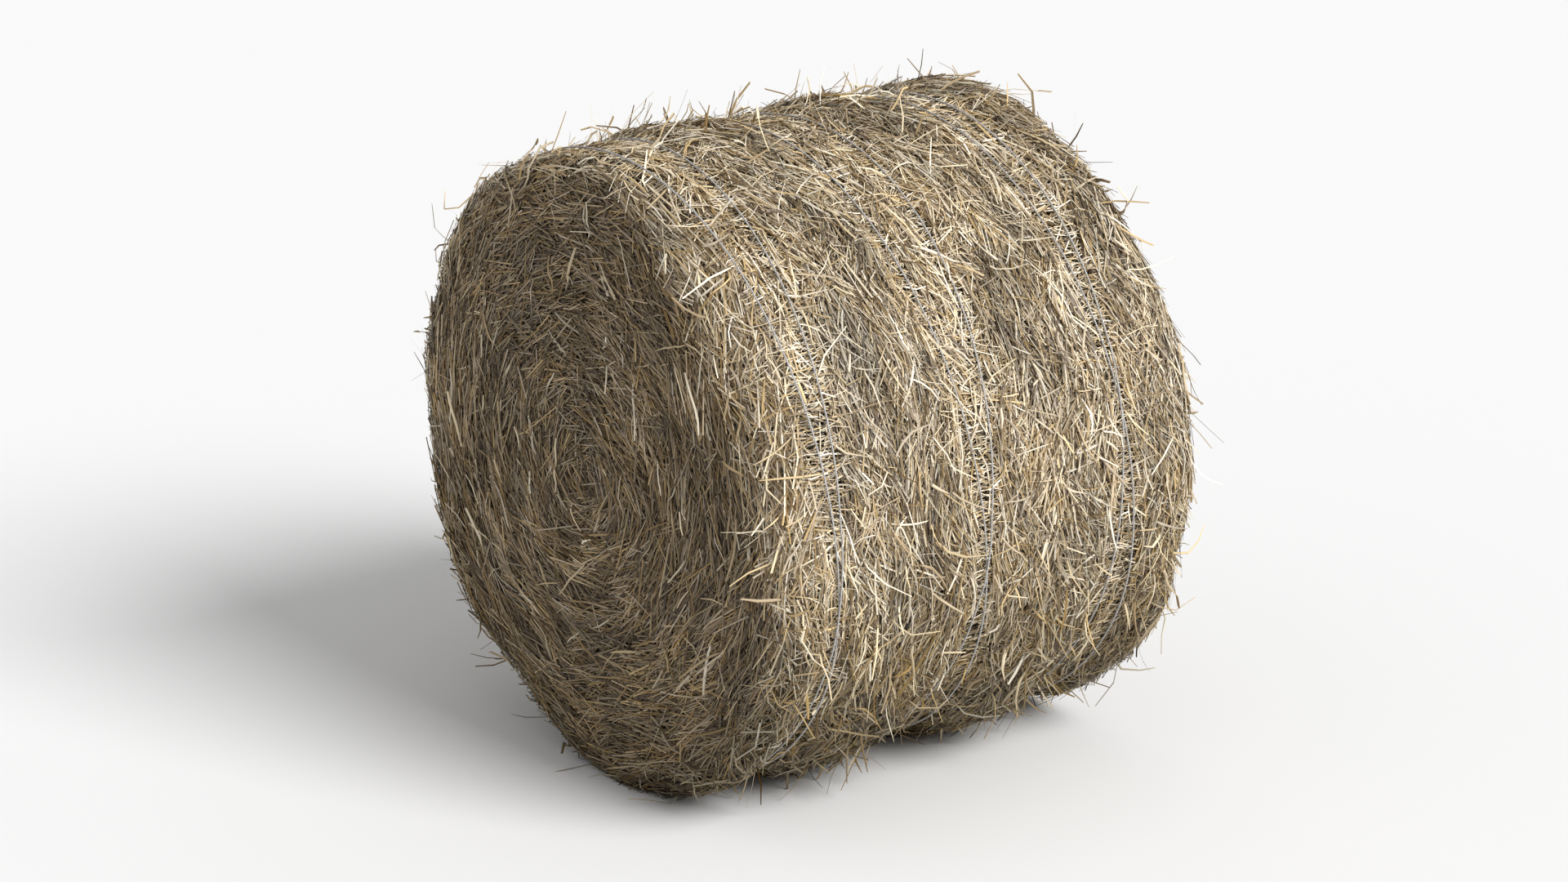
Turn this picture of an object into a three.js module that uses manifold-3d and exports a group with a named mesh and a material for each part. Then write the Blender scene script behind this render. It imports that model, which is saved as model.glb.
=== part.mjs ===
// Round hay bale: dry grass rolled up in a baler, bound by three lengths of twine.
// Millimetres, +Z up. The bale lies on its side with its axis along X. Its weight has pressed
// a flat spot under it, and the origin is the middle of that spot.
//
// Angles round the bale are measured from the top, towards the front (-Y).
import * as THREE from "three";
import { mergeVertices } from "three/addons/utils/BufferGeometryUtils.js";
import Module from "manifold-3d";

const wasm = await Module();
wasm.setup();

// The roll of hay
const ROLL_RADIUS = 760; // at the crests between the twine
const ROLL_WIDTH = 1180; // end face to end face
const SHOULDER = 42; // rounding where an end face meets the side
const WORN_SHOULDER = { along: 82, inward: 165 }; // the same on the front of the near end, worn rounder
const WORN_ANGLE = 58; // degrees, the middle of the worn stretch
const WORN_FULL = 18; // degrees to either side that are worn the most
const WORN_SPREAD = 66; // degrees to either side where the wear ends
const FLAT_DEPTH = 22; // how far the weight has pressed the underside in
const VALLEY_DEPTH = 14; // how far the twine has pulled the hay in
const VALLEY_DEPTH_BELOW = 30; // and under the bale, where the twine stays clear of the ground
const VALLEY_DEEPENS = [75, 40]; // degrees from the bottom, from where to where a valley gets deeper
// Where the roll is out of round: middle and half width in degrees, and by how much its radius differs.
const OUT_OF_ROUND = [
  { angle: 204, spread: 26, by: -24 }, // settled beside its flat spot
  { angle: 300, spread: 45, by: 14 }, // and bulging above that
];
const VALLEY_MARGIN = 9; // floor of a valley beyond the twine on each side
const VALLEY_SLOPE = 45; // width of a valley's sloping side
const LEDGE = 2; // the least that is left of the side between a valley's floor and a shoulder
const LUMP = 7; // unevenness of the crests
// Its waves: how many go round the bale, and how far along the bale each one runs.
const BROAD_WAVE = { round: 3, length: 140 };
const CROSS_WAVE = { round: 2, length: 210 };
const FINE_WAVE = { round: 7, length: 90, share: 0.4 };
const TURN_STEPS = 60; // facets round the bale

// The twine
const TWINE_DIAMETER = 6;
const TWINE_SIDES = 6;
const TWINE_GAP = 0.4; // clearance that the solids keep
const TWINE_PITCH = 9; // spacing of turns that lie side by side
const TAIL_STEPS = 2; // length of each cut end, in facets of the roll
const RISE_FROM = 22; // the upper turn starts to rise this far from the lower one
const RISE_BY = 10; // and rides fully over it within this distance

// Loose stalks that stand out of the roll
const SIDE_STALKS = 56;
const END_STALKS = 12; // on each end face
const STALK_BASE = 5; // radius where a stalk leaves the hay
const STALK_ROOT = 30; // length buried in the hay
const STALK_LENGTH = [45, 120]; // length that shows
const STALK_SPREAD = 30; // either way along a crest
const STALK_SLANT = { round: 1.3, along: 0.9 }; // how far a side stalk may slant, per unit outward
const STALK_LOWEST = 90; // height of the lowest root
const END_STALK_RING = [0.3, 0.9]; // shares of the radius between which end stalks stand
const STALK_REACH = { x: 45, y: 55, z: 65 }; // how far tips stand out past the roll

const AXIS_HEIGHT = ROLL_RADIUS - FLAT_DEPTH;
const HALF_WIDTH = ROLL_WIDTH / 2;
const FULL_TURN = 2 * Math.PI;
const STEP = FULL_TURN / TURN_STEPS;

const radians = THREE.MathUtils.degToRad;
const { clamp, lerp, smoothstep } = THREE.MathUtils;

// Each length of twine goes round twice. A turn is a tilted ring: its centre along the axis, how far
// it leans to either side of that, and the angle where it leans furthest towards +X.
const WRAPS = [
  {
    name: "twine_wrap_near",
    first: { centre: -440, lean: 97, towards: radians(205) },
    second: { centre: -405, lean: 72, towards: radians(266) },
  },
  {
    name: "twine_wrap_middle",
    first: { centre: -6, lean: 128, towards: radians(207) },
    second: { centre: -27, lean: 42, towards: radians(329) },
  },
  {
    name: "twine_wrap_far",
    first: { centre: 401, lean: 97, towards: radians(195) },
    second: { centre: 363, lean: 27, towards: radians(294) },
  },
];

function alongAxis(turn, angle) {
  return turn.centre + turn.lean * Math.cos(angle - turn.towards);
}

function onBale(x, radius, angle) {
  return new THREE.Vector3(x, -radius * Math.sin(angle), AXIS_HEIGHT + radius * Math.cos(angle));
}

// How far an angle is from another, either way.
function apartFrom(angle, other) {
  return Math.abs(THREE.MathUtils.euclideanModulo(angle - other + Math.PI, FULL_TURN) - Math.PI);
}

// 1 in the middle of a stretch of the bale's round, falling to 0 at its ends. In degrees.
function withinStretch(angle, middle, spread, full = 0) {
  return 1 - smoothstep(apartFrom(angle, radians(middle)), radians(full), radians(spread));
}

function roundRadius(angle) {
  const difference = OUT_OF_ROUND.map((part) => part.by * withinStretch(angle, part.angle, part.spread));
  return difference.reduce((radius, by) => radius + by, ROLL_RADIUS);
}

// How far a shoulder reaches along the bale and in towards its axis. The near end is side -1.
function shoulderAt(side, angle) {
  const worn = side < 0 ? withinStretch(angle, WORN_ANGLE, WORN_SPREAD, WORN_FULL) : 0;
  return {
    along: lerp(SHOULDER, WORN_SHOULDER.along, worn),
    inward: lerp(SHOULDER, WORN_SHOULDER.inward, worn),
  };
}

// How far from the middle of the bale its side ends and a shoulder starts.
function shoulderStart(side, angle) {
  return HALF_WIDTH - shoulderAt(side, angle).along;
}

function valleyRadius(angle) {
  const [from, to] = VALLEY_DEEPENS.map(radians);
  const below = 1 - smoothstep(apartFrom(angle, Math.PI), to, from);
  return roundRadius(angle) - lerp(VALLEY_DEPTH, VALLEY_DEPTH_BELOW, below);
}

// The angle on the far side of the bale where the two turns of a wrap meet.
function meetingAngle({ first, second }) {
  const across = first.lean * Math.cos(first.towards) - second.lean * Math.cos(second.towards);
  const up = first.lean * Math.sin(first.towards) - second.lean * Math.sin(second.towards);
  const apart = first.centre - second.centre;
  return Math.atan2(up, across) + Math.acos(-apart / Math.hypot(across, up));
}

// One length of twine: a tail, the first turn, the second turn laid over it, and a tail.
class TwineRoute extends THREE.Curve {
  constructor(wrap) {
    super();
    this.wrap = wrap;
    this.start = meetingAngle(wrap);
    this.steps = 2 * TURN_STEPS + 2 * TAIL_STEPS;
    // Starting on a facet's edge keeps the twine flat on the facets of the roll.
    this.start = Math.round(this.start / STEP) * STEP;
  }

  // The angle wound since the first turn began, at t from 0 to 1.
  wound(t) {
    return t * this.steps * STEP - TAIL_STEPS * STEP;
  }

  place(wound) {
    const turn = wound < FULL_TURN ? this.wrap.first : this.wrap.second;
    return alongAxis(turn, this.start + wound) + TWINE_PITCH * (wound / FULL_TURN - 1);
  }

  // How far the second turn is lifted off the hay by the turn or the tail that it crosses.
  rise(wound) {
    if (wound < FULL_TURN + STEP) return 0;
    const below = [wound - FULL_TURN, wound - 2 * FULL_TURN].filter((w) => w >= -TAIL_STEPS * STEP);
    const apart = Math.min(...below.map((w) => Math.abs(this.place(wound) - this.place(w))));
    const over = 1 - smoothstep(apart, RISE_BY, RISE_FROM);
    const settled = clamp((wound - 2 * FULL_TURN) / STEP, 0, 1);
    return (TWINE_DIAMETER + TWINE_GAP) * over * (1 - settled);
  }

  getPoint(t, target = new THREE.Vector3()) {
    const wound = this.wound(t);
    const angle = this.start + wound;
    const radius = valleyRadius(angle) + TWINE_GAP + TWINE_DIAMETER / 2 + this.rise(wound);
    return target.copy(onBale(this.place(wound), radius, angle));
  }

  // Even steps of angle, so that every point of the twine lies over an edge of the roll's facets.
  getPointAt(t, target) {
    return this.getPoint(t, target);
  }
}

function twineWrap(wrap, material) {
  const route = new TwineRoute(wrap);
  const section = new THREE.Shape().absarc(0, 0, TWINE_DIAMETER / 2, 0, FULL_TURN);
  const geometry = new THREE.ExtrudeGeometry(section, {
    extrudePath: route,
    steps: route.steps,
    curveSegments: TWINE_SIDES / 2,
    bevelEnabled: false,
  });
  const mesh = new THREE.Mesh(geometry, material);
  mesh.name = wrap.name;
  return mesh;
}

// Slow waves round and along the bale, from -1 to 1.
function lumps(x, angle) {
  const broad = Math.sin(BROAD_WAVE.round * angle + x / BROAD_WAVE.length);
  const cross = Math.cos(CROSS_WAVE.round * angle - x / CROSS_WAVE.length);
  const fine = Math.sin(FINE_WAVE.round * angle - x / FINE_WAVE.length);
  return lerp(broad * cross, fine, FINE_WAVE.share);
}

function crestRadius(x, angle) {
  return roundRadius(angle) - (LUMP / 2) * (1 - lumps(x, angle));
}

// The four rows of a valley: lip, floor, floor, lip. Its floor holds both turns of the twine, so it is
// narrow where they cross. Near an end face the lip sinks into the shoulder.
function valleyRows({ first, second }) {
  const edges = (angle) => {
    const places = [alongAxis(first, angle), alongAxis(second, angle)];
    const room = TWINE_PITCH + VALLEY_MARGIN;
    return [
      Math.max(Math.min(...places) - room, LEDGE - shoulderStart(-1, angle)),
      Math.min(Math.max(...places) + room, shoulderStart(1, angle) - LEDGE),
    ];
  };
  const floor = (side) => (angle) => ({ x: edges(angle)[side], radius: valleyRadius(angle) });
  const lip = (side, way) => (angle) => {
    const from = edges(angle)[side];
    const limits = [LEDGE / 2 - shoulderStart(-1, angle), shoulderStart(1, angle) - LEDGE / 2];
    const x = clamp(from + way * VALLEY_SLOPE, ...limits);
    const share = Math.abs(x - from) / VALLEY_SLOPE;
    return { x, radius: lerp(valleyRadius(angle), crestRadius(x, angle), share) };
  };
  return [lip(0, -1), floor(0), floor(1), lip(1, 1)];
}

// A row halfway between two others, at the full height of the crest.
function crestRow(before, after) {
  return (angle) => {
    const x = (before(angle).x + after(angle).x) / 2;
    return { x, radius: crestRadius(x, angle) };
  };
}

// The rows of an end face from its rim to the middle: shoulder, then the rings that the rolled layers make.
const FACE_RINGS = [
  { share: 1, out: 0 },
  { share: 0.91, out: 7 },
  { share: 0.77, out: -6 },
  { share: 0.61, out: 6 },
  { share: 0.47, out: -9 },
  { share: 0.3, out: 5 },
  { share: 0.13, out: -4 },
  { share: 0, out: 4 },
];
const RING_WAVE = 4; // how far a ring stands out unevenly
const RING_TURN = 11; // how far round that unevenness shifts, in radians from the middle to the rim
const SHOULDER_STEPS = 3;

function endRows(side, lastLip) {
  const rows = [];
  for (let i = 0; i < SHOULDER_STEPS; i++) {
    const turned = (i / SHOULDER_STEPS) * (Math.PI / 2);
    rows.push((angle) => {
      const { along, inward } = shoulderAt(side, angle);
      return {
        x: side * (HALF_WIDTH - along * (1 - Math.sin(turned))),
        radius: lastLip(angle).radius - inward * (1 - Math.cos(turned)),
      };
    });
  }
  for (const ring of FACE_RINGS) {
    const wave = (angle) => RING_WAVE * Math.sin(2 * angle + RING_TURN * ring.share);
    const uneven = (angle) => (ring.share > 0 ? wave(angle) : 0);
    rows.push((angle) => ({
      x: side * (HALF_WIDTH + ring.out + uneven(angle)),
      radius: ring.share * (lastLip(angle).radius - shoulderAt(side, angle).inward),
    }));
  }
  return rows;
}

function rollGeometry() {
  const [near, middle, far] = WRAPS.map(valleyRows);
  const rows = [
    ...endRows(-1, near[0]).reverse(),
    ...near,
    crestRow(near[3], middle[0]),
    ...middle,
    crestRow(middle[3], far[0]),
    ...far,
    ...endRows(1, far[3]),
  ];
  const profile = rows.map((row) => new THREE.Vector2(row(0).radius, row(0).x));
  const geometry = new THREE.LatheGeometry(profile, TURN_STEPS);
  const places = geometry.getAttribute("position");
  for (let step = 0; step <= TURN_STEPS; step++) {
    const angle = (step % TURN_STEPS) * STEP;
    rows.forEach((row, i) => {
      const { x, radius } = row(angle);
      const point = onBale(x, radius, angle);
      point.z = Math.max(point.z, 0);
      places.setXYZ(step * rows.length + i, point.x, point.y, point.z);
    });
  }
  return geometry;
}

// A small repeatable random generator.
function randomFrom(seed) {
  let state = seed;
  return (low = 0, high = 1) => {
    state = (state + 0x6d2b79f5) | 0;
    let mixed = Math.imul(state ^ (state >>> 15), 1 | state);
    mixed = (mixed + Math.imul(mixed ^ (mixed >>> 7), 61 | mixed)) ^ mixed;
    return low + (high - low) * (((mixed ^ (mixed >>> 14)) >>> 0) / 2 ** 32);
  };
}

// A stalk from its root in the hay to its tip, a slim three-sided spike.
function stalk(root, tip) {
  const way = tip.clone().sub(root);
  const spike = new THREE.ConeGeometry(STALK_BASE, way.length(), 3);
  spike.translate(0, way.length() / 2, 0);
  const turned = new THREE.Quaternion().setFromUnitVectors(new THREE.Vector3(0, 1, 0), way.normalize());
  return spike.applyQuaternion(turned).translate(root.x, root.y, root.z);
}

// Keeps a tip above the floor and within the reach of the loose stalks.
function withinReach(tip) {
  const widest = { x: HALF_WIDTH + STALK_REACH.x, y: ROLL_RADIUS + STALK_REACH.y };
  return new THREE.Vector3(
    clamp(tip.x, -widest.x, widest.x),
    clamp(tip.y, -widest.y, widest.y),
    clamp(tip.z, TWINE_DIAMETER, AXIS_HEIGHT + ROLL_RADIUS + STALK_REACH.z),
  );
}

// Stalks stand out of the two crests between the twine, by turns.
function sideStalks(random) {
  const [near, middle, far] = WRAPS.map(valleyRows);
  const crests = [crestRow(near[3], middle[0]), crestRow(middle[3], far[0])];
  return Array.from({ length: SIDE_STALKS }, (_, i) => {
    const angle = ((i + random(-0.4, 0.4)) / SIDE_STALKS) * FULL_TURN;
    const x = crests[i % 2](angle).x + random(-1, 1) * STALK_SPREAD;
    const outward = onBale(0, 1, angle).sub(onBale(0, 0, angle));
    const round = onBale(0, 1, angle + Math.PI / 2).sub(onBale(0, 0, angle));
    const way = outward.clone().addScaledVector(round, random(-1, 1) * STALK_SLANT.round);
    way.x += random(-1, 1) * STALK_SLANT.along;
    way.normalize();
    const surface = onBale(x, valleyRadius(angle), angle);
    surface.z = Math.max(surface.z, STALK_LOWEST);
    const tip = surface.clone().addScaledVector(way, VALLEY_DEPTH + random(...STALK_LENGTH));
    return stalk(surface.addScaledVector(outward, -STALK_ROOT), withinReach(tip));
  });
}

function endStalks(random, side) {
  return Array.from({ length: END_STALKS }, (_, i) => {
    const angle = ((i + random(-0.3, 0.3)) / END_STALKS) * FULL_TURN;
    const ring = random(...END_STALK_RING) * valleyRadius(angle);
    const root = onBale(side * (HALF_WIDTH - STALK_ROOT), ring, angle);
    root.z = Math.max(root.z, STALK_LOWEST);
    const round = onBale(0, 1, angle + Math.PI / 2).sub(onBale(0, 0, angle));
    const way = round.multiplyScalar(random(-1, 1)).add(new THREE.Vector3(side, 0, random(-0.4, 0.4)));
    const tip = root.clone().addScaledVector(way.normalize(), 2 * STALK_ROOT + random(...STALK_LENGTH));
    return stalk(root, withinReach(tip));
  });
}

// A closed three.js geometry as a solid that can be joined, and back.
function solidOf(geometry) {
  const bare = geometry.clone();
  bare.deleteAttribute("normal");
  bare.deleteAttribute("uv");
  const merged = mergeVertices(bare, 1e-3);
  return new wasm.Manifold(
    new wasm.Mesh({
      numProp: 3,
      vertProperties: new Float32Array(merged.getAttribute("position").array),
      triVerts: new Uint32Array(merged.index.array),
    }),
  );
}

function geometryOf(solid) {
  const { vertProperties, triVerts } = solid.getMesh();
  const geometry = new THREE.BufferGeometry();
  geometry.setAttribute("position", new THREE.BufferAttribute(vertProperties, 3));
  geometry.setIndex(new THREE.BufferAttribute(triVerts, 1));
  geometry.computeVertexNormals();
  return geometry;
}

// The roll with its loose stalks, one piece of rolled grass.
function hayRoll(material) {
  const random = randomFrom(11);
  const stalks = [...sideStalks(random), ...endStalks(random, -1), ...endStalks(random, 1)];
  const joined = stalks.reduce((roll, one) => roll.add(solidOf(one)), solidOf(rollGeometry()));
  const mesh = new THREE.Mesh(geometryOf(joined), material);
  mesh.name = "hay_roll";
  return mesh;
}

const hay = new THREE.MeshStandardMaterial({ color: 0xb09a72, roughness: 0.85, metalness: 0 });
const twine = new THREE.MeshStandardMaterial({ color: 0xb4b1aa, roughness: 0.75, metalness: 0 });

const bale = new THREE.Group();
bale.add(hayRoll(hay));
for (const wrap of WRAPS) bale.add(twineWrap(wrap, twine));

export default bale;
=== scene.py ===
import math

import bpy
import numpy as np
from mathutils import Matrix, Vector, noise


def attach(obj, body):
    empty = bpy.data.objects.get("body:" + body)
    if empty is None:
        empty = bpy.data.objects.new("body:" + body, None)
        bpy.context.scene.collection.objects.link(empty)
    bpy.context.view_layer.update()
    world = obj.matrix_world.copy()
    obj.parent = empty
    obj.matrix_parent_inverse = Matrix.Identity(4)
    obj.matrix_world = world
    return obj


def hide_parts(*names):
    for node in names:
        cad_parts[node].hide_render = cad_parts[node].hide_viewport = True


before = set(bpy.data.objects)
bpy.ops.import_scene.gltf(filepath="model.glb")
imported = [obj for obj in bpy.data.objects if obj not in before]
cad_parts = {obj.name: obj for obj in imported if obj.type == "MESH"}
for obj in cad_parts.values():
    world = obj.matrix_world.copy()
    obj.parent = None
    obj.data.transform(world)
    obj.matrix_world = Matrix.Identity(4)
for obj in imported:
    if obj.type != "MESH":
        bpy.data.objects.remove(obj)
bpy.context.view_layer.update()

# The bed: the imported mat of the rolled hay, under the straw that shows.
# Dry grass pressed hard by the baler's belts, streaked along the roll and with no gaps. Its dark brown
# is painted shade, standing for the shadowed depths between the straws.
# It is pulled in where the twine goes round, and pressed flat underneath by the bale's own weight.

# Lengths are in metres. Angles go round the bale from its top towards its front, and near is its -X end.
ROLL_RADIUS = 0.760
HALF_WIDTH = 0.590
FLAT_SPOT_DEPTH = 0.022
AXIS_HEIGHT = ROLL_RADIUS - FLAT_SPOT_DEPTH

# A shoulder reaches along the bale and in towards its axis. The near one is worn off at its front.
NEAR_SHOULDER = (0.042, 0.042)
WORN_SHOULDER = (0.082, 0.165)
WORN_ANGLE = math.radians(58)
WORN_FULL = math.radians(18)
WORN_SPREAD = math.radians(66)
WORN_FLATTENED = 0.6

# The far shoulder and the roll differ over some stretches: the middle of each, how far it spreads to
# either side, and by how much it differs at its middle.
FAR_SHOULDER = 0.072
FAR_DIFFERS = (
    (math.radians(140), math.radians(40), -0.044),
    (math.radians(36), math.radians(42), 0.050),
)
OUT_OF_ROUND = (
    (math.radians(206), math.radians(33), -0.049),
    (math.radians(308), math.radians(48), 0.013),
)

# The valleys that the twine has pulled in. They deepen underneath, between these angles from the bottom.
VALLEY_DEPTH = 0.014
VALLEY_DEPTH_BELOW = 0.030
VALLEY_DEEPENS = (math.radians(40), math.radians(75))
VALLEY_MARGIN = 0.018
VALLEY_SLOPE = 0.050

# How deep the bed lies under the straw, the domes of the end faces, and the spiral of their layers.
BED_DEPTH = 0.024
END_DEPTH = 0.030
END_DOMES = {-1: 0.034, 1: 0.008}
DOME_SPREAD = 0.5
LAYER_PITCH = 0.115
LAYER_LEDGE = 0.016
LEDGE_CURVE = 1.5
LEDGES_FADE = 0.12

# The bed's mesh: its points round the bale, its rows along it, and how many count as an end face.
BED_STEPS = 160
SIDE_ROWS = 66
SHOULDER_ROWS = 10
FACE_ROWS = 20
END_ROWS = FACE_ROWS + 2

# Each length of twine goes round twice. A turn is a tilted ring: its centre along the axis, its lean
# to either side, and the angle from the top, towards the front, where it leans furthest to +X.
TWINE_TURNS = {
    "near": ((-0.440, 0.097, math.radians(205)), (-0.405, 0.072, math.radians(266))),
    "middle": ((-0.006, 0.128, math.radians(207)), (-0.027, 0.042, math.radians(329))),
    "far": ((0.401, 0.097, math.radians(195)), (0.363, 0.027, math.radians(294))),
}


def turn_place(turn, angle):
    centre, lean, towards = turn
    return centre + lean * np.cos(angle - towards)


def on_bale(x, radius, angle):
    return np.stack([x, -radius * np.sin(angle), AXIS_HEIGHT + radius * np.cos(angle)], axis=-1)


def smooth(t):
    t = np.clip(t, 0, 1)
    return t * t * (3 - 2 * t)


def apart_from(angle, other):
    return np.abs((angle - other + math.pi) % (2 * math.pi) - math.pi)


def within_stretch(angle, middle, spread):
    return 1 - smooth(apart_from(angle, middle) / spread)


def round_radius(angle):
    # The roll has settled out of round a little beside its flat spot, and bulges above that.
    return ROLL_RADIUS + sum(by * within_stretch(angle, *where) for *where, by in OUT_OF_ROUND)


def shoulder_at(side, angle):
    """How far a shoulder reaches along the bale, and in towards its axis, and how worn off it is."""
    if side > 0:
        reach = FAR_SHOULDER + sum(by * within_stretch(angle, *where) for *where, by in FAR_DIFFERS)
        return reach, reach, np.zeros_like(angle)
    worn = 1 - smooth((apart_from(angle, WORN_ANGLE) - WORN_FULL) / (WORN_SPREAD - WORN_FULL))
    along, inward = [whole + (rubbed - whole) * worn for whole, rubbed in zip(NEAR_SHOULDER, WORN_SHOULDER)]
    return along, inward, worn


def valley_radius(angle):
    low, high = VALLEY_DEEPENS
    below = 1 - smooth((apart_from(angle, math.pi) - low) / (high - low))
    return round_radius(angle) - VALLEY_DEPTH - (VALLEY_DEPTH_BELOW - VALLEY_DEPTH) * below


def pulled_in(x, angle):
    """1 under the twine, falling to 0 beyond the slopes of its valley."""
    pulled = np.zeros_like(x)
    for first, second in TWINE_TURNS.values():
        places = np.stack([turn_place(first, angle), turn_place(second, angle)])
        beyond = np.maximum(places.min(axis=0) - x, x - places.max(axis=0)) - VALLEY_MARGIN
        pulled = np.maximum(pulled, 1 - smooth(beyond / VALLEY_SLOPE))
    return pulled


def side_radius(x, angle):
    radius = round_radius(angle)
    return radius - BED_DEPTH - (radius - valley_radius(angle)) * pulled_in(x, angle)


def layer_share(radius, angle):
    """How far through its rolled layer a point of an end face is, from 0 at the layer's ledge to 1."""
    return (radius / LAYER_PITCH - angle / (2 * math.pi)) % 1


def layer_ledges(radius, angle):
    """How far the spiral of rolled layers stands out of an end face."""
    return LAYER_LEDGE * (1 - layer_share(radius, angle) ** LEDGE_CURVE)


def end_rows(side, angle):
    """Rows of the bed from the edge of its side, over a shoulder, to near the middle of an end face."""
    along, inward, worn = shoulder_at(side, angle)
    start = HALF_WIDTH - along
    dome = END_DOMES[side]
    face = HALF_WIDTH - END_DEPTH + dome * worn
    edge = side_radius(side * start, angle)
    bend = 2 / (2 - WORN_FLATTENED * worn)
    rows = []
    for turned in np.linspace(0, math.pi / 2, SHOULDER_ROWS + 1):
        out = start + (face - start) * np.sin(turned) ** bend
        rows.append(on_bale(side * out, edge - inward * (1 - np.abs(np.cos(turned)) ** bend), angle))
    for share in np.linspace(1, 0, FACE_ROWS + 1)[1:-1]:
        radius = share * (edge - inward)
        rim = smooth((1 - share) / LEDGES_FADE)
        domed = smooth((1 - share) / DOME_SPREAD)
        level = HALF_WIDTH - END_DEPTH + dome * (domed + (1 - domed) * worn)
        rows.append(on_bale(side * (level + rim * layer_ledges(radius, angle)), radius, angle))
    return rows


def bed_grid():
    """Places of the bed's points, from the middle of one end face over the side to the other."""
    angle = np.arange(BED_STEPS) * 2 * math.pi / BED_STEPS
    near_start = shoulder_at(-1, angle)[0] - HALF_WIDTH
    far_start = HALF_WIDTH - shoulder_at(1, angle)[0]
    rows = end_rows(-1, angle)[::-1]
    for share in np.linspace(0, 1, SIDE_ROWS)[1:-1]:
        x = near_start + (far_start - near_start) * share
        rows.append(on_bale(x, side_radius(x, angle), angle))
    return np.stack(rows + end_rows(1, angle))


# The lumps of the hay: how high they are, and how many to a metre.
WAD_HEIGHT = 0.018
WADS_ROUND = 4.2
WADS_ACROSS = 15.0
WADS_START = 0.15
TUFTS = ((0.005, 4.5), (0.005, 24.0))


def uneven(point):
    """Lumps of hay: long wads that lie along the roll, and tufts between them."""
    place = Vector(point)
    from_axis = math.hypot(place.y, place.z - AXIS_HEIGHT)
    rolled = Vector((place.y, place.z - AXIS_HEIGHT)) * (WADS_ROUND / max(from_axis, WADS_START))
    lump = WAD_HEIGHT * noise.noise(Vector((*rolled, (place.x + from_axis) * WADS_ACROSS)))
    for height, to_a_metre in TUFTS:
        lump += height * noise.noise(place * to_a_metre)
    return lump


# How light the straw of a place is drawn, as painted light and shade: most on the tops of the lumps, with
# painted shade in their hollows and in the gap before a layer's ledge, more on the worn rim, which is partly
# rubbed straw and partly painted light, and more beside the twine, which also holds the lumps flat.
LUMP_RANGE = 0.024
HELD_FLAT = 0.85
GAP_SHADE = 0.8
GAP_FROM = 0.55
RIM_WEAR_AND_LIGHT = 0.42
TWINE_LIGHT = 0.30


def make_bed():
    grid = bed_grid()
    rows = len(grid)
    inward = grid - np.array([0, 0, AXIS_HEIGHT])
    inward /= np.linalg.norm(inward, axis=2, keepdims=True)
    lumps = np.array([uneven(point) for point in grid.reshape(-1, 3)]).reshape(rows, BED_STEPS)
    angles = np.arange(BED_STEPS) * 2 * math.pi / BED_STEPS
    held = np.stack([pulled_in(row[:, 0], angles) for row in grid])
    lumps = lumps * (1 - HELD_FLAT * held)
    grid = grid + inward * lumps[..., None]
    grid[..., 2] = np.maximum(grid[..., 2], BED_DEPTH / 2)
    poles = [grid[0].mean(axis=0), grid[-1].mean(axis=0)]
    points = np.concatenate([grid.reshape(-1, 3), poles])
    near_pole, far_pole = len(points) - 2, len(points) - 1
    faces = []
    for step in range(BED_STEPS):
        after = (step + 1) % BED_STEPS
        faces.append((near_pole, after, step))
        last = (rows - 1) * BED_STEPS
        faces.append((far_pole, last + step, last + after))
        for row in range(rows - 1):
            here, there = row * BED_STEPS, (row + 1) * BED_STEPS
            faces.append((here + step, here + after, there + after, there + step))
    mesh = bpy.data.meshes.new("hay_bed")
    mesh.from_pydata(points.tolist(), [], faces)
    mesh.shade_smooth()
    angle = np.arctan2(-points[:, 1], points[:, 2] - AXIS_HEIGHT)
    ups = np.zeros(len(points) * 3)
    mesh.vertex_normals.foreach_get("vector", ups)
    round_way = np.stack([np.zeros_like(angle), -np.cos(angle), -np.sin(angle)], axis=-1)
    for name, values in (("up", ups), ("round", round_way.ravel())):
        mesh.attributes.new(name, "FLOAT_VECTOR", "POINT").data.foreach_set("vector", values)
    from_axis = np.hypot(points[:, 1], points[:, 2] - AXIS_HEIGHT)
    from_side = np.minimum(np.arange(rows), np.arange(rows)[::-1])
    on_end = np.append(np.repeat(from_side < END_ROWS, BED_STEPS), [True, True])
    regions = {
        "side": ~on_end,
        "near_end": on_end & (points[:, 0] < 0),
        "far_end": on_end & (points[:, 0] > 0),
    }
    # Painted shade: straw in the hollows of the lumps and in the gap before each layer's ledge is drawn
    # darker.
    crest = np.clip(0.5 + np.append(lumps.ravel(), [0, 0]) / LUMP_RANGE, 0, 1)
    in_gap = smooth((layer_share(from_axis, angle) - GAP_FROM) / (1 - GAP_FROM))
    crest = np.where(on_end, crest * (1 - GAP_SHADE * in_gap), crest)
    # The worn rim is drawn paler: partly rubbed straw, partly painted light where the lit side wraps over it.
    rubbed = np.zeros((rows, BED_STEPS))
    rubbed[FACE_ROWS:FACE_ROWS + SHOULDER_ROWS] = shoulder_at(-1, angles)[2]
    crest = crest + np.append(np.maximum(RIM_WEAR_AND_LIGHT * rubbed, TWINE_LIGHT * held).ravel(), [0, 0])
    mesh.attributes.new("crest", "FLOAT", "POINT").data.foreach_set("value", crest)
    for name, inside in regions.items():
        mesh.attributes.new(name, "FLOAT", "POINT").data.foreach_set("value", inside.astype(float))
    return mesh


def link(tree, value, socket):
    if isinstance(value, bpy.types.NodeSocket):
        tree.links.new(value, socket)
    else:
        socket.default_value = value


def node(tree, kind, inputs=None, **settings):
    made = tree.nodes.new(kind)
    for name, value in settings.items():
        setattr(made, name, value)
    for key, value in (inputs or {}).items():
        link(tree, value, made.inputs[key])
    return made


def maths(tree, operation, *values):
    made = node(tree, "ShaderNodeMath", dict(enumerate(values)), operation=operation)
    return made.outputs[0]


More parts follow.
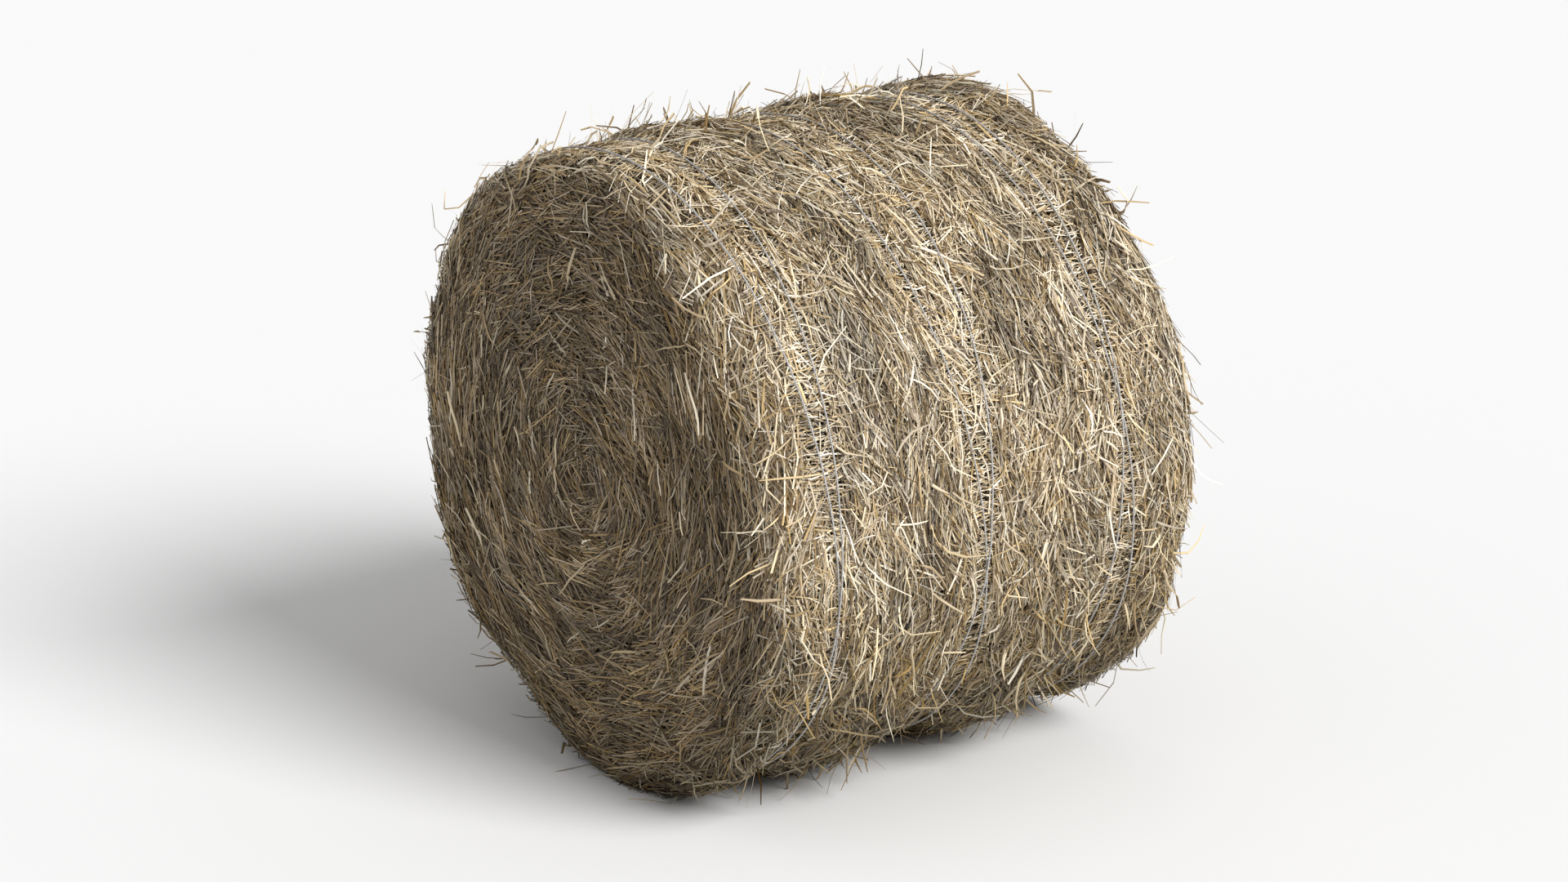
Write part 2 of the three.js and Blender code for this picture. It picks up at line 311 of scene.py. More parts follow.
def vectors(tree, operation, *values):
    made = node(tree, "ShaderNodeVectorMath", operation=operation)
    for value, socket in zip(values, made.inputs):
        link(tree, value, socket)
    if operation == "SCALE":
        made.inputs[1].default_value = (0, 0, 0)
        link(tree, values[1], made.inputs["Scale"])
    return made.outputs["Value" if operation in ("DOT_PRODUCT", "LENGTH") else "Vector"]


def rgb(red, green, blue):
    """A colour given as it looks on a screen, 0 to 255."""
    shares = [value / 255 for value in (red, green, blue)]
    return (*[s / 12.92 if s <= 0.04045 else ((s + 0.055) / 1.055) ** 2.4 for s in shares], 1)


def new_material(name):
    material = bpy.data.materials.new(name)
    material.use_nodes = True
    return material, material.node_tree, material.node_tree.nodes["Principled BSDF"]


def bed_material():
    # Dark brown, painted shade for the depths between the straws.
    material, tree, shader = new_material("painted_shade_bed")
    place = node(tree, "ShaderNodeTexCoord").outputs["Object"]
    wide = node(tree, "ShaderNodeTexNoise", {"Vector": place, "Scale": 60.0, "Detail": 6.0})
    ramp = node(tree, "ShaderNodeValToRGB", {"Fac": wide.outputs["Fac"]})
    ramp.color_ramp.elements[0].position = 0.3
    ramp.color_ramp.elements[0].color = rgb(44, 35, 24)
    ramp.color_ramp.elements[1].position = 0.75
    ramp.color_ramp.elements[1].color = rgb(92, 77, 54)
    link(tree, ramp.outputs["Color"], shader.inputs["Base Color"])
    bump = node(tree, "ShaderNodeBump", {"Height": wide.outputs["Fac"], "Strength": 0.6, "Distance": 0.01})
    link(tree, bump.outputs["Normal"], shader.inputs["Normal"])
    shader.inputs["Roughness"].default_value = 0.9
    return material


bed_mesh = make_bed()
bed_mesh.materials.append(bed_material())
bed = bpy.data.objects.new("hay_bed", bed_mesh)
bpy.context.scene.collection.objects.link(bed)
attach(bed, "root")
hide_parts("hay_roll")

# The straw: stalks and blades of dry grass lying on the bed, mostly along the way the bale was rolled.
# Each is a strip, flat or folded along its middle, bent onto the bed, with one end that may stand up.
# The same tree lays every kind of straw, and keeps it low where the twine goes over it.


def named(tree, name, kind="FLOAT"):
    made = node(tree, "GeometryNodeInputNamedAttribute", {"Name": name}, data_type=kind)
    return made.outputs["Attribute"]


def store(tree, geometry, name, value, kind="FLOAT", domain="POINT"):
    inputs = {"Geometry": geometry, "Name": name, "Value": value}
    made = node(tree, "GeometryNodeStoreNamedAttribute", inputs, data_type=kind, domain=domain)
    return made.outputs["Geometry"]


def draw(tree, low, high, seed):
    """A random number for each straw, even between low and high."""
    return node(tree, "FunctionNodeRandomValue", {2: low, 3: high, "Seed": seed}).outputs[1]


def between(tree, value, low, high):
    """0 below low, 1 above high and smooth between."""
    inputs = {"Value": value, "From Min": low, "From Max": high}
    return node(tree, "ShaderNodeMapRange", inputs, interpolation_type="SMOOTHSTEP").outputs["Result"]


STRAW_INPUTS = {
    "Region": ("NodeSocketString", "side"),
    "Per Square Metre": ("NodeSocketFloat", 3000.0),
    "Within Of Twine": ("NodeSocketFloat", 9.0),
    "Clear Of Twine": ("NodeSocketFloat", 0.0),
    "Straight By Twine": ("NodeSocketFloat", 0.0),
    "Seed": ("NodeSocketInt", 1),
    "Segments": ("NodeSocketInt", 1),
    "Facets Across": ("NodeSocketInt", 2),
    "Shortest": ("NodeSocketFloat", 0.05),
    "Longest": ("NodeSocketFloat", 0.15),
    "Narrowest": ("NodeSocketFloat", 0.004),
    "Widest": ("NodeSocketFloat", 0.008),
    "Turn": ("NodeSocketFloat", 0.0),
    "Turn Spread": ("NodeSocketFloat", 0.4),
    "Clump Turn": ("NodeSocketFloat", 0.5),
    "Lowest": ("NodeSocketFloat", 0.0),
    "Highest": ("NodeSocketFloat", 0.018),
    "Raised End": ("NodeSocketFloat", 0.02),
    "Least Raised": ("NodeSocketFloat", 0.0),
    "Bow": ("NodeSocketFloat", 0.05),
    "Taper": ("NodeSocketFloat", 0.0),
    "Starts At": ("NodeSocketFloat", 0.0),
    "Material": ("NodeSocketMaterial", None),
}


# How the straws lie: in clumps that turn together, most of them close to their clump's way, and along
# the roll where they are near the twine. Most lie low in the bed, and most of their ends lie flat.
CLUMPS_TO_A_METRE = 9.0
CLUMP_SWING = 4.0
CLOSE_TO_CLUMP = 0.35
STRAIGHT_FROM_TWINE = (0.02, 0.11)
MOSTLY_LOW = 1.7
MOSTLY_FLAT = 2.5
RISE_CURVE = 1.5
TIP_CURVE = 3.0
FOLD_HEIGHT = 0.55
MOST_ROLLED = 0.35

# The twine holds straws down within these distances, and takes this share off their height.
HELD_FROM_TWINE = (0.012, 0.055)
HELD_DOWN = 0.12
FLOOR_GAP = 0.001

# How light a straw is drawn, painted light and shade: by the lump it lies on, or in full, as painted light,
# once its end stands this far up.
CREST_LIGHT = 0.66
LEAST_LIGHT = 0.34
LIT_WHEN_RAISED = 0.045

# The share of its square of the map that a straw fills, to either side of the square's middle.
MAP_FILL = 0.4


def straw_tree():
    tree = bpy.data.node_groups.new("laid_straw", "GeometryNodeTree")
    tree.interface.new_socket("Geometry", in_out="INPUT", socket_type="NodeSocketGeometry")
    for name, (kind, value) in STRAW_INPUTS.items():
        socket = tree.interface.new_socket(name, in_out="INPUT", socket_type=kind)
        if value is not None:
            socket.default_value = value
    tree.interface.new_socket("Geometry", in_out="OUTPUT", socket_type="NodeSocketGeometry")
    given = node(tree, "NodeGroupInput").outputs
    bed_in, seed = given["Geometry"], given["Seed"]
    here = node(tree, "GeometryNodeInputPosition").outputs[0]
    twine = node(tree, "GeometryNodeJoinGeometry")
    for name in TWINE_TURNS:
        strand = node(tree, "GeometryNodeObjectInfo", {"Object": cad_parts["twine_wrap_" + name]})
        tree.links.new(strand.outputs["Geometry"], twine.inputs[0])

    def seeded(step):
        return maths(tree, "ADD", seed, float(step))

    def from_twine(place):
        inputs = {"Geometry": twine.outputs[0], "Sample Position": place}
        return node(tree, "GeometryNodeProximity", inputs).outputs["Distance"]

    # Where the straws lie, and which way each one points.
    near = from_twine(here)
    close = maths(tree, "LESS_THAN", near, given["Within Of Twine"])
    clear = maths(tree, "GREATER_THAN", near, given["Clear Of Twine"])
    chosen = maths(tree, "MULTIPLY", named(tree, given["Region"]), maths(tree, "MULTIPLY", close, clear))
    chosen = maths(tree, "GREATER_THAN", chosen, 0.5)
    spread = {"Mesh": bed_in, "Density": given["Per Square Metre"], "Seed": seed, "Selection": chosen}
    points = node(tree, "GeometryNodeDistributePointsOnFaces", spread).outputs["Points"]
    up = vectors(tree, "NORMALIZE", named(tree, "up", "FLOAT_VECTOR"))
    along_roll = vectors(tree, "NORMALIZE", named(tree, "round", "FLOAT_VECTOR"))
    across_roll = vectors(tree, "CROSS_PRODUCT", up, along_roll)
    clumps = {"Vector": here, "Scale": CLUMPS_TO_A_METRE, "Detail": 1.0}
    clump = node(tree, "ShaderNodeTexNoise", clumps).outputs["Fac"]
    clump = maths(tree, "MULTIPLY", maths(tree, "SUBTRACT", clump, 0.5), given["Clump Turn"])
    scatter = maths(tree, "ADD", draw(tree, -0.5, 0.5, seeded(1)), draw(tree, -0.5, 0.5, seeded(2)))
    closeness = maths(tree, "ADD", CLOSE_TO_CLUMP, maths(tree, "ABSOLUTE", scatter))
    scatter = maths(tree, "MULTIPLY", scatter, closeness)
    scatter = maths(tree, "MULTIPLY", scatter, given["Turn Spread"])
    beside = maths(tree, "SUBTRACT", 1.0, between(tree, near, *STRAIGHT_FROM_TWINE))
    freely = maths(tree, "SUBTRACT", 1.0, maths(tree, "MULTIPLY", beside, given["Straight By Twine"]))
    turn = maths(tree, "ADD", maths(tree, "MULTIPLY", clump, CLUMP_SWING), scatter)
    turn = maths(tree, "ADD", given["Turn"], maths(tree, "MULTIPLY", turn, freely))
    way = vectors(
        tree,
        "ADD",
        vectors(tree, "SCALE", along_roll, maths(tree, "COSINE", turn)),
        vectors(tree, "SCALE", across_roll, maths(tree, "SINE", turn)),
    )

    # The size of each straw, how it bends, and how light it is.
    length = draw(tree, given["Shortest"], given["Longest"], seeded(3))
    width = draw(tree, given["Narrowest"], given["Widest"], seeded(4))
    layer = maths(tree, "POWER", draw(tree, 0.0, 1.0, seeded(5)), MOSTLY_LOW)
    layers = {"Value": layer, "To Min": given["Lowest"], "To Max": given["Highest"]}
    lift = node(tree, "ShaderNodeMapRange", layers).outputs["Result"]
    raised = maths(tree, "POWER", draw(tree, 0.0, 1.0, seeded(6)), MOSTLY_FLAT)
    raised = maths(tree, "ADD", given["Least Raised"], raised)
    raised = maths(tree, "MULTIPLY", maths(tree, "MINIMUM", raised, 1.0), given["Raised End"])
    bow = maths(tree, "MULTIPLY", given["Bow"], length)
    bow = maths(tree, "MULTIPLY", draw(tree, -1.0, 1.0, seeded(7)), bow)
    # Painted light and shade: lighter on the tops of the lumps and where a straw's end stands up, darker
    # deeper in the mat.
    painted_light_share = maths(tree, "MULTIPLY_ADD", named(tree, "crest"), CREST_LIGHT, LEAST_LIGHT)
    painted_light_share = maths(tree, "MAXIMUM", painted_light_share, between(tree, raised, 0.0, LIT_WHEN_RAISED))
    out_of_mat = between(tree, maths(tree, "MULTIPLY_ADD", raised, 0.5, lift), 0.0, BED_DEPTH)
    points = store(tree, points, "tint", draw(tree, 0.0, 1.0, seeded(8)))
    points = store(tree, points, "lift", lift)
    points = store(tree, points, "surfaced", maths(tree, "MULTIPLY", out_of_mat, painted_light_share))
    points = store(tree, points, "raised", raised)
    points = store(tree, points, "bow", bow)
    points = store(tree, points, "width", width)
    points = store(tree, points, "roll", draw(tree, -MOST_ROLLED, MOST_ROLLED, seeded(9)))
    points = store(tree, points, "sideways", vectors(tree, "CROSS_PRODUCT", up, way), "FLOAT_VECTOR")
    points = store(tree, points, "straw", node(tree, "GeometryNodeInputIndex").outputs[0])

    # One straw, a metre long and a metre wide before it is scaled. It is kept as its middle line, with
    # its width beside it as a value, and narrows to its ends by its taper.
    sizes = {"Size X": 1.0, "Size Y": 1.0, "Vertices X": maths(tree, "ADD", given["Segments"], 1.0)}
    sizes["Vertices Y"] = maths(tree, "ADD", given["Facets Across"], 1.0)
    strip = node(tree, "GeometryNodeMeshGrid", sizes).outputs["Mesh"]
    flat = node(tree, "ShaderNodeSeparateXYZ", {0: here}).outputs
    share = maths(tree, "ADD", flat["X"], 0.5)
    left_out = maths(tree, "MULTIPLY", maths(tree, "SUBTRACT", 1.0, share), given["Starts At"])
    share = maths(tree, "ADD", share, left_out)
    strip = store(tree, strip, "along", maths(tree, "MULTIPLY_ADD", share, 2.0, -1.0))
    strip = store(tree, strip, "across", maths(tree, "MULTIPLY", flat["Y"], 2.0))
    to_tip = maths(tree, "ABSOLUTE", maths(tree, "MULTIPLY", flat["X"], 2.0))
    narrowed = maths(tree, "MULTIPLY", maths(tree, "POWER", to_tip, TIP_CURVE), given["Taper"])
    half = maths(tree, "MULTIPLY", flat["Y"], maths(tree, "SUBTRACT", 1.0, narrowed))
    strip = store(tree, strip, "half", half)
    line = node(tree, "ShaderNodeCombineXYZ", {"X": maths(tree, "SUBTRACT", share, 0.5)}).outputs[0]
    strip = node(tree, "GeometryNodeSetPosition", {"Geometry": strip, "Position": line}).outputs[0]

    # Laid out straight, its middle line bent down onto the bed, and then given its width.
    turned = node(
        tree,
        "FunctionNodeAxesToRotation",
        {"Primary Axis": up, "Secondary Axis": way},
        primary_axis="Z",
        secondary_axis="X",
    )
    scale = node(tree, "ShaderNodeCombineXYZ", {"X": length, "Y": 1.0, "Z": 1.0}).outputs[0]
    laid = {"Points": points, "Instance": strip, "Rotation": turned.outputs[0], "Scale": scale}
    laid = node(tree, "GeometryNodeInstanceOnPoints", laid).outputs[0]
    laid = node(tree, "GeometryNodeRealizeInstances", {"Geometry": laid}).outputs[0]
    along, across = named(tree, "along"), named(tree, "across")
    sideways = named(tree, "sideways", "FLOAT_VECTOR")
    bent = maths(tree, "MULTIPLY", named(tree, "bow"), maths(tree, "POWER", along, 2.0))
    bowed = vectors(tree, "ADD", here, vectors(tree, "SCALE", sideways, bent))

    def on_bed(value):
        inputs = {"Mesh": bed_in, "Value": value, "Sample Position": bowed}
        made = node(tree, "GeometryNodeSampleNearestSurface", inputs, data_type="FLOAT_VECTOR")
        return made.outputs["Value"]

    foot = on_bed(here)
    normal = vectors(tree, "NORMALIZE", on_bed(named(tree, "up", "FLOAT_VECTOR")))
    free = between(tree, from_twine(foot), *HELD_FROM_TWINE)
    end_share = maths(tree, "POWER", maths(tree, "MULTIPLY_ADD", along, 0.5, 0.5), RISE_CURVE)
    stand = maths(tree, "MULTIPLY", maths(tree, "MULTIPLY", named(tree, "raised"), end_share), free)
    held = maths(tree, "ADD", 1 - HELD_DOWN, maths(tree, "MULTIPLY", free, HELD_DOWN))
    low = maths(tree, "MULTIPLY", named(tree, "lift"), held)
    fold = maths(tree, "SUBTRACT", 1.0, maths(tree, "ABSOLUTE", across))
    fold = maths(tree, "MULTIPLY", fold, FOLD_HEIGHT)
    fold = maths(tree, "ADD", fold, maths(tree, "MULTIPLY", across, named(tree, "roll")))
    fold = maths(tree, "MULTIPLY", fold, named(tree, "width"))
    height = maths(tree, "ADD", maths(tree, "ADD", low, stand), fold)
    aside = maths(tree, "MULTIPLY", named(tree, "half"), named(tree, "width"))
    place = vectors(tree, "ADD", foot, vectors(tree, "SCALE", sideways, aside))
    place = vectors(tree, "ADD", place, vectors(tree, "SCALE", normal, height))
    place = vectors(tree, "MAXIMUM", place, (-9.0, -9.0, FLOOR_GAP))
    laid = node(tree, "GeometryNodeSetPosition", {"Geometry": laid, "Position": place}).outputs[0]
    laid = node(tree, "GeometryNodeSetShadeSmooth", {"Geometry": laid}).outputs[0]

    # Each straw has its own square of the map that its colours are baked through.
    size = node(tree, "GeometryNodeAttributeDomainSize", {"Geometry": points}, component="POINTCLOUD")
    side = maths(tree, "CEIL", maths(tree, "SQRT", size.outputs[0]))
    straw = named(tree, "straw")
    column = maths(tree, "MODULO", straw, side)
    row = maths(tree, "FLOOR", maths(tree, "DIVIDE", straw, side))

    def on_map(square, share):
        inside = maths(tree, "ADD", 0.5, maths(tree, "MULTIPLY", share, MAP_FILL))
        return maths(tree, "DIVIDE", maths(tree, "ADD", square, inside), side)

    spot = {"X": on_map(column, across), "Y": on_map(row, along)}
    spot = node(tree, "ShaderNodeCombineXYZ", spot).outputs[0]
    laid = store(tree, laid, "OFBake", spot, "FLOAT2", "CORNER")
    coloured = {"Geometry": laid, "Material": given["Material"]}
    laid = node(tree, "GeometryNodeSetMaterial", coloured).outputs[0]
    out = node(tree, "NodeGroupOutput")
    tree.links.new(laid, out.inputs[0])
    return tree


laid_straw = straw_tree()


def plain_mesh(name, mesh, tree, values):
    """Runs a tree on a mesh and keeps what it makes as a plain mesh object."""
    holder = bpy.data.objects.new(name + "_holder", mesh)
    bpy.context.scene.collection.objects.link(holder)
    modifier = holder.modifiers.new("make", "NODES")
    modifier.node_group = tree
    for item in tree.interface.items_tree:
        if item.in_out == "INPUT" and item.name in values:
            modifier[item.identifier] = values[item.name]
    holder.update_tag()
    seen = holder.evaluated_get(bpy.context.evaluated_depsgraph_get())
    made = bpy.data.meshes.new_from_object(seen)
    made.name = name
    bpy.data.objects.remove(holder)
    piece = bpy.data.objects.new(name, made)
    bpy.context.scene.collection.objects.link(piece)
    return piece


# The values that only the tree needs. A straw keeps its tint, its painted light and shade and the place along
# and across it.
BED_VALUES = ("up", "round", "crest")
STRAW_VALUES = ("lift", "raised", "bow", "width", "half", "roll", "sideways", "straw")


def lay_straw(name, material, **values):
    """Lays one kind of straw on the bed, with the tree's inputs given by their names in small letters."""
    inputs = {key.replace("_", " ").title(): value for key, value in values.items()}
    piece = plain_mesh(name, bed_mesh, laid_straw, inputs | {"Material": material})
    for attribute in BED_VALUES + STRAW_VALUES:
        stored = piece.data.attributes.get(attribute)
        if stored:
            piece.data.attributes.remove(stored)
    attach(piece, "root")
    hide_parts("hay_roll")


# The colours of a straw: streaks along it, its own share of grey, painted shade at its edges, and painted
# shade the deeper it lies in the mat. Hay near the ground, between these heights, is darker and less grey:
# painted shade under the bale.
STREAKS_ALONG = 0.6
STREAKS_ACROSS = 2.2
STREAKS_APART = 317.0
STREAK_LIGHT = (0.9, 0.55)
GREYS_APART = 43.7
SATURATION = (0.62, 0.68)
LOW_SHADE_SATURATION = 0.55
EDGE_SHADE = 0.4
DEEP_LIGHT = (1.17, 0.10)
LOW_DOWN = (0.15, 0.75)
LOWEST = (0.02, 0.35)
LOWEST_SHARE = 0.4
PATCHES_TO_A_METRE = 7.0
PATCH_LIGHT = (0.35, 0.86)


def straw_colours():
    """A shader group: each straw has a shade of its own, streaked along its length."""
    tree = bpy.data.node_groups.new("straw_colours", "ShaderNodeTree")
    for name in ("Brown", "Tan", "Pale"):
        tree.interface.new_socket(name, in_out="INPUT", socket_type="NodeSocketColor")
    tree.interface.new_socket("Painted Low Shade", in_out="INPUT", socket_type="NodeSocketFloat")
    tree.interface.new_socket("Colour", in_out="OUTPUT", socket_type="NodeSocketColor")
    tree.interface.new_socket("Height", in_out="OUTPUT", socket_type="NodeSocketFloat")
    given = node(tree, "NodeGroupInput").outputs

    def attribute(name):
        return node(tree, "ShaderNodeAttribute", attribute_name=name).outputs["Fac"]

    def scaled(value, scale_and_start):
        return maths(tree, "MULTIPLY_ADD", value, *scale_and_start)

    def below(height, levels):
        return maths(tree, "SUBTRACT", 1.0, between(tree, height, *levels))

    def blend(factor, first, second):
        made = node(tree, "ShaderNodeMix", {"Factor": factor}, data_type="RGBA")
        link(tree, first, made.inputs[6])
        link(tree, second, made.inputs[7])
        return made.outputs[2]

    tint, along, across = attribute("tint"), attribute("along"), attribute("across")
    streaks = {
        "X": maths(tree, "MULTIPLY", along, STREAKS_ALONG),
        "Y": maths(tree, "MULTIPLY", across, STREAKS_ACROSS),
        "Z": maths(tree, "MULTIPLY", tint, STREAKS_APART),
    }
    streaks = node(tree, "ShaderNodeCombineXYZ", streaks).outputs[0]
    streak = node(tree, "ShaderNodeTexNoise", {"Vector": streaks, "Scale": 2.0, "Detail": 3.0}).outputs["Fac"]
    colour = blend(between(tree, tint, 0.0, 0.5), given["Brown"], given["Tan"])
    colour = blend(between(tree, tint, 0.5, 1.0), colour, given["Pale"])
    place = node(tree, "ShaderNodeTexCoord").outputs["Object"]
    height = node(tree, "ShaderNodeSeparateXYZ", {0: place}).outputs["Z"]
    # Painted shade: darker and less grey towards the bottom of the bale.
    low_down = maths(tree, "MULTIPLY_ADD", below(height, LOWEST), LOWEST_SHARE, below(height, LOW_DOWN))
    painted_low_shade = maths(tree, "MULTIPLY", low_down, given["Painted Low Shade"])
    own_grey = maths(tree, "FRACT", maths(tree, "MULTIPLY", tint, GREYS_APART))
    vivid = maths(tree, "ADD", scaled(own_grey, SATURATION), maths(tree, "MULTIPLY", painted_low_shade, LOW_SHADE_SATURATION))
    greyed = node(tree, "ShaderNodeHueSaturation", {"Color": colour, "Saturation": vivid}).outputs[0]
    # Painted shade: darker towards a straw's edges, as on a round stem.
    to_edge = maths(tree, "POWER", across, 2.0)
    painted_edge_shade = maths(tree, "SUBTRACT", 1.0, maths(tree, "MULTIPLY", to_edge, EDGE_SHADE))
    strength = maths(tree, "MULTIPLY", scaled(streak, STREAK_LIGHT), painted_edge_shade)
    # Painted shade: darker the deeper the straw lies in the mat, and in the hollows of the lumps.
    painted_depth_shade = scaled(attribute("surfaced"), DEEP_LIGHT)
    outside_low_shade = maths(tree, "SUBTRACT", 1.0, painted_low_shade)
    strength = maths(tree, "MULTIPLY", strength, maths(tree, "MULTIPLY", painted_depth_shade, outside_low_shade))
    patches = {"Vector": place, "Scale": PATCHES_TO_A_METRE, "Detail": 2.0}
    patch = node(tree, "ShaderNodeTexNoise", patches).outputs["Fac"]
    strength = maths(tree, "MULTIPLY", strength, scaled(patch, PATCH_LIGHT))
    out = node(tree, "NodeGroupOutput")
    tree.links.new(vectors(tree, "SCALE", greyed, strength), out.inputs["Colour"])
    tree.links.new(streak, out.inputs["Height"])
    return tree


straw_group = straw_colours()


def straw_material(name, brown, tan, pale, roughness, painted_low_shade=0.46):
    material, tree, shader = new_material(name)
    group = node(tree, "ShaderNodeGroup", node_tree=straw_group)
    for socket, colour in zip(("Brown", "Tan", "Pale"), (brown, tan, pale)):
        group.inputs[socket].default_value = colour
    group.inputs["Painted Low Shade"].default_value = painted_low_shade
    link(tree, group.outputs["Colour"], shader.inputs["Base Color"])
    ribs = {"Height": group.outputs["Height"], "Strength": 0.3, "Distance": 0.001}
    bump = node(tree, "ShaderNodeBump", ribs)
    link(tree, bump.outputs["Normal"], shader.inputs["Normal"])
    shader.inputs["Roughness"].default_value = roughness
    return material


# A darker copy of the hay, painted shade, for the deepest layer of straw on the side.
shaded_deep_hay = straw_material("shaded_deep_hay", rgb(74, 60, 41), rgb(118, 99, 71), rgb(158, 138, 107), 0.8)
dry_hay = straw_material("dry_hay", rgb(100, 80, 55), rgb(190, 167, 130), rgb(250, 237, 209), 0.5)
# A darker copy of the hay, painted shade, for the end faces that are turned away from the key light.
shaded_end_hay = straw_material("shaded_end_hay", rgb(86, 69, 47), rgb(165, 141, 106), rgb(206, 185, 150), 0.7, 0.07)

lay_straw(
    "side_deep_straw",
    shaded_deep_hay,
    region="side",
    per_square_metre=4400.0,
    seed=10,
    facets_across=1,
    shortest=0.08,
    longest=0.17,
    narrowest=0.003,
    widest=0.007,
    turn_spread=0.8,
    clump_turn=0.45,
    lowest=0.001,
    highest=0.010,
    raised_end=0.004,
)
lay_straw(
    "side_fibres",
    dry_hay,
    region="side",
    per_square_metre=14000.0,
    clear_of_twine=0.036,
    straight_by_twine=0.3,
    seed=20,
    facets_across=1,
    shortest=0.04,
    longest=0.13,
    narrowest=0.0012,
    widest=0.003,
    turn_spread=1.0,
    clump_turn=0.9,
    lowest=0.004,
    highest=0.026,
    raised_end=0.014,
)
for layer in (1, 2):
    lay_straw(
        f"side_straw_{layer}",
        dry_hay,
        region="side",
        per_square_metre=6200.0,
        clear_of_twine=0.036,
        straight_by_twine=0.5,
        seed=20 + layer * 10,
        segments=layer,
        facets_across=3 - layer,
        shortest=0.04,
        longest=0.15,
        narrowest=0.002,
        widest=0.0046,
        turn_spread=0.9,
        clump_turn=0.9,
        lowest=0.004,
        highest=0.026,
        raised_end=0.014,
        bow=0.09,
    )
lay_straw(
    "side_bent_straw",
    dry_hay,
    region="side",
    per_square_metre=1900.0,
    clear_of_twine=0.030,
    seed=50,
    segments=3,
    facets_across=1,
    shortest=0.05,
    longest=0.14,
    narrowest=0.0015,
    widest=0.004,
    turn_spread=1.3,
    clump_turn=0.9,
    lowest=0.008,
    highest=0.027,
    raised_end=0.016,
    bow=0.12,
)
pale_hay = straw_material("pale_hay", rgb(160, 137, 102), rgb(217, 196, 160), rgb(251, 240, 217), 0.5)
lay_straw(
    "valley_straw",
    pale_hay,
    region="side",
    per_square_metre=10500.0,
    within_of_twine=0.042,
    seed=60,
    segments=2,
    facets_across=1,
    shortest=0.02,
    longest=0.07,
    narrowest=0.0013,
    widest=0.0034,
    turn=math.radians(90),
    turn_spread=0.9,
    clump_turn=0.25,
    lowest=0.008,
    highest=0.027,
    raised_end=0.008,
    bow=0.14,
)
lay_straw(
    "crossing_straw",
    pale_hay,
    region="side",
    per_square_metre=1500.0,
    within_of_twine=0.110,
    clear_of_twine=0.042,
    seed=65,
    segments=2,
    facets_across=1,
    shortest=0.03,
    longest=0.08,
    narrowest=0.0013,
    widest=0.003,
    turn=math.radians(90),
    turn_spread=1.6,
    clump_turn=0.3,
    lowest=0.016,
    highest=0.029,
    raised_end=0.008,
    bow=0.16,
)
for end, seed, fibres in (("near_end", 70, 20000.0), ("far_end", 80, 14000.0)):
    lay_straw(
        end + "_fibres",
        shaded_end_hay,
        region=end,
        per_square_metre=fibres,
        seed=seed,
        facets_across=1,
        shortest=0.04,
        longest=0.13,
        narrowest=0.0012,
        widest=0.0032,
        turn_spread=0.9,
        clump_turn=0.5,
        lowest=0.001,
        highest=0.022,
        raised_end=0.012,
    )
    lay_straw(
        end + "_straw",
        shaded_end_hay,
        region=end,
        per_square_metre=8500.0,
        seed=seed + 5,
        shortest=0.05,
        longest=0.15,
        narrowest=0.002,
        widest=0.0046,
        turn_spread=0.9,
        clump_turn=0.5,
        lowest=0.001,
        highest=0.022,
        raised_end=0.012,
    )

# Loose straw: wide pale blades that lie over the rest at any angle, and stalks that stand out of it.
# They came free as the bale was rolled and handled, and one end is still held in the mat. Sprigs are
# short and curled, and some stalks still have their seed heads.
LOOSE_REGIONS = (
    ("side", 90, pale_hay),
    ("near_end", 110, dry_hay),
    ("far_end", 130, dry_hay),
)
for region, seed, blade_hay in LOOSE_REGIONS:
    lay_straw(
        region + "_loose_blades",
        blade_hay,
        region=region,
        per_square_metre=170.0 if region == "side" else 110.0,
        seed=seed,
        segments=5,
        shortest=0.05,
        longest=0.15,
        narrowest=0.0025,
        widest=0.0065,
        turn_spread=1.6,
        clump_turn=0.5,
        lowest=0.018,
        highest=0.028,
        raised_end=0.045 if region == "side" else 0.035,
        bow=0.07,
        taper=0.6,
    )
    lay_straw(
        region + "_stray_stalks",
        dry_hay,
        region=region,
        per_square_metre=440.0,
        seed=seed + 10,
        segments=3,
        facets_across=1,
        shortest=0.05,
        longest=0.16,
        narrowest=0.0018,
        widest=0.0045,
        turn_spread=3.5,
        lowest=0.008,
        highest=0.018,
        raised_end=0.096 if region == "side" else 0.034,
        least_raised=0.06,
        bow=0.13,
        taper=0.4,
    )
    lay_straw(
        region + "_sprigs",
        blade_hay,
        region=region,
        per_square_metre=135.0 if region == "side" else 40.0,
        clear_of_twine=0.02,
        seed=seed + 15,
        segments=4,
        shortest=0.035,
        longest=0.125,
        narrowest=0.0025,
        widest=0.0075,
        turn_spread=3.5,
        lowest=0.006,
        highest=0.016,
        raised_end=0.089 if region == "side" else 0.030,
        least_raised=0.45,
        bow=0.30,
        taper=0.6,
    )
    headed = dict(
        region=region,
        per_square_metre=14.0,
        clear_of_twine=0.02,
        seed=seed + 18,
        segments=4,
        shortest=0.09,
        longest=0.15,
        turn_spread=3.5,
        lowest=0.006,
        highest=0.016,
        raised_end=0.098 if region == "side" else 0.030,
        least_raised=0.5,
        bow=0.12,
    )
    lay_straw(region + "_headed_stalks", dry_hay, narrowest=0.0018, widest=0.0024, **headed)
    heads = dict(narrowest=0.004, widest=0.0075, taper=0.85, starts_at=0.82)
    lay_straw(region + "_seed_heads", dry_hay, **heads, **headed)

